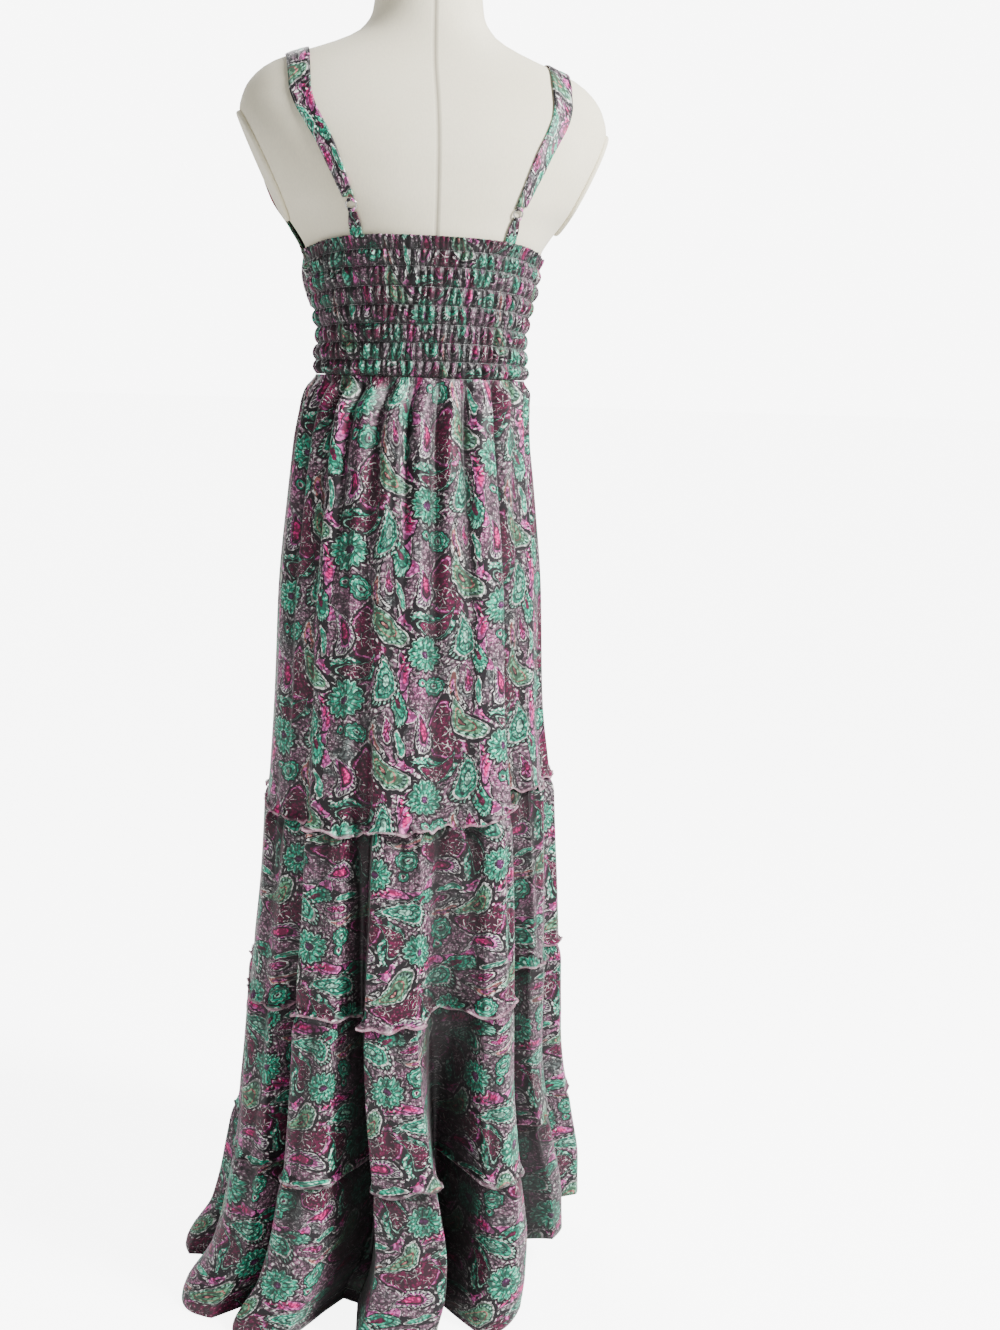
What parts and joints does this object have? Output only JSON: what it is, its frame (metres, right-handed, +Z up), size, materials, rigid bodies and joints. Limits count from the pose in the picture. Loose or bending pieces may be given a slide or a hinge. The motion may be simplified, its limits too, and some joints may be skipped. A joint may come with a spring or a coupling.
{
  "type": "tiered maxi dress on a dress form",
  "caption": "Floor-length sleeveless dress with a shirred back, ring-joined straps and gathered tiers, worn by a limbless dress form on a round stand.",
  "frame": {"origin": "centre of the stand's round base plate, on the floor", "axes": "+Z up, +Y the way the dress faces, +X the wearer's right"},
  "size_m": [0.5019, 0.3813, 1.4994],
  "materials": {
    "printed_cloth": "soft",
    "form_cloth": "matt",
    "arm_plate_cloth": "matt",
    "ring_metal": "polished",
    "stand_paint": "satin"
  },
  "bodies": {
    "root": {"bodice_back": "printed_cloth", "cup_left": "printed_cloth", "cup_right": "printed_cloth", "front_midriff": "printed_cloth", "strap_left": "printed_cloth", "strap_right": "printed_cloth", "strap_tab_left": "printed_cloth", "strap_tab_right": "printed_cloth", "tier_1_back": "printed_cloth", "tier_1_front": "printed_cloth", "tier_2_back": "printed_cloth", "tier_2_front": "printed_cloth", "tier_3_back": "printed_cloth", "tier_3_front": "printed_cloth", "tier_4_back": "printed_cloth", "tier_4_front": "printed_cloth", "strap_ring_left": "ring_metal", "strap_ring_right": "ring_metal", "form_torso": "form_cloth", "form_neck_cap": "form_cloth", "form_arm_plate_left": "arm_plate_cloth", "form_arm_plate_right": "arm_plate_cloth", "form_socket": "stand_paint", "form_pole": "stand_paint", "form_base": "stand_paint"}
  },
  "joints": []
}
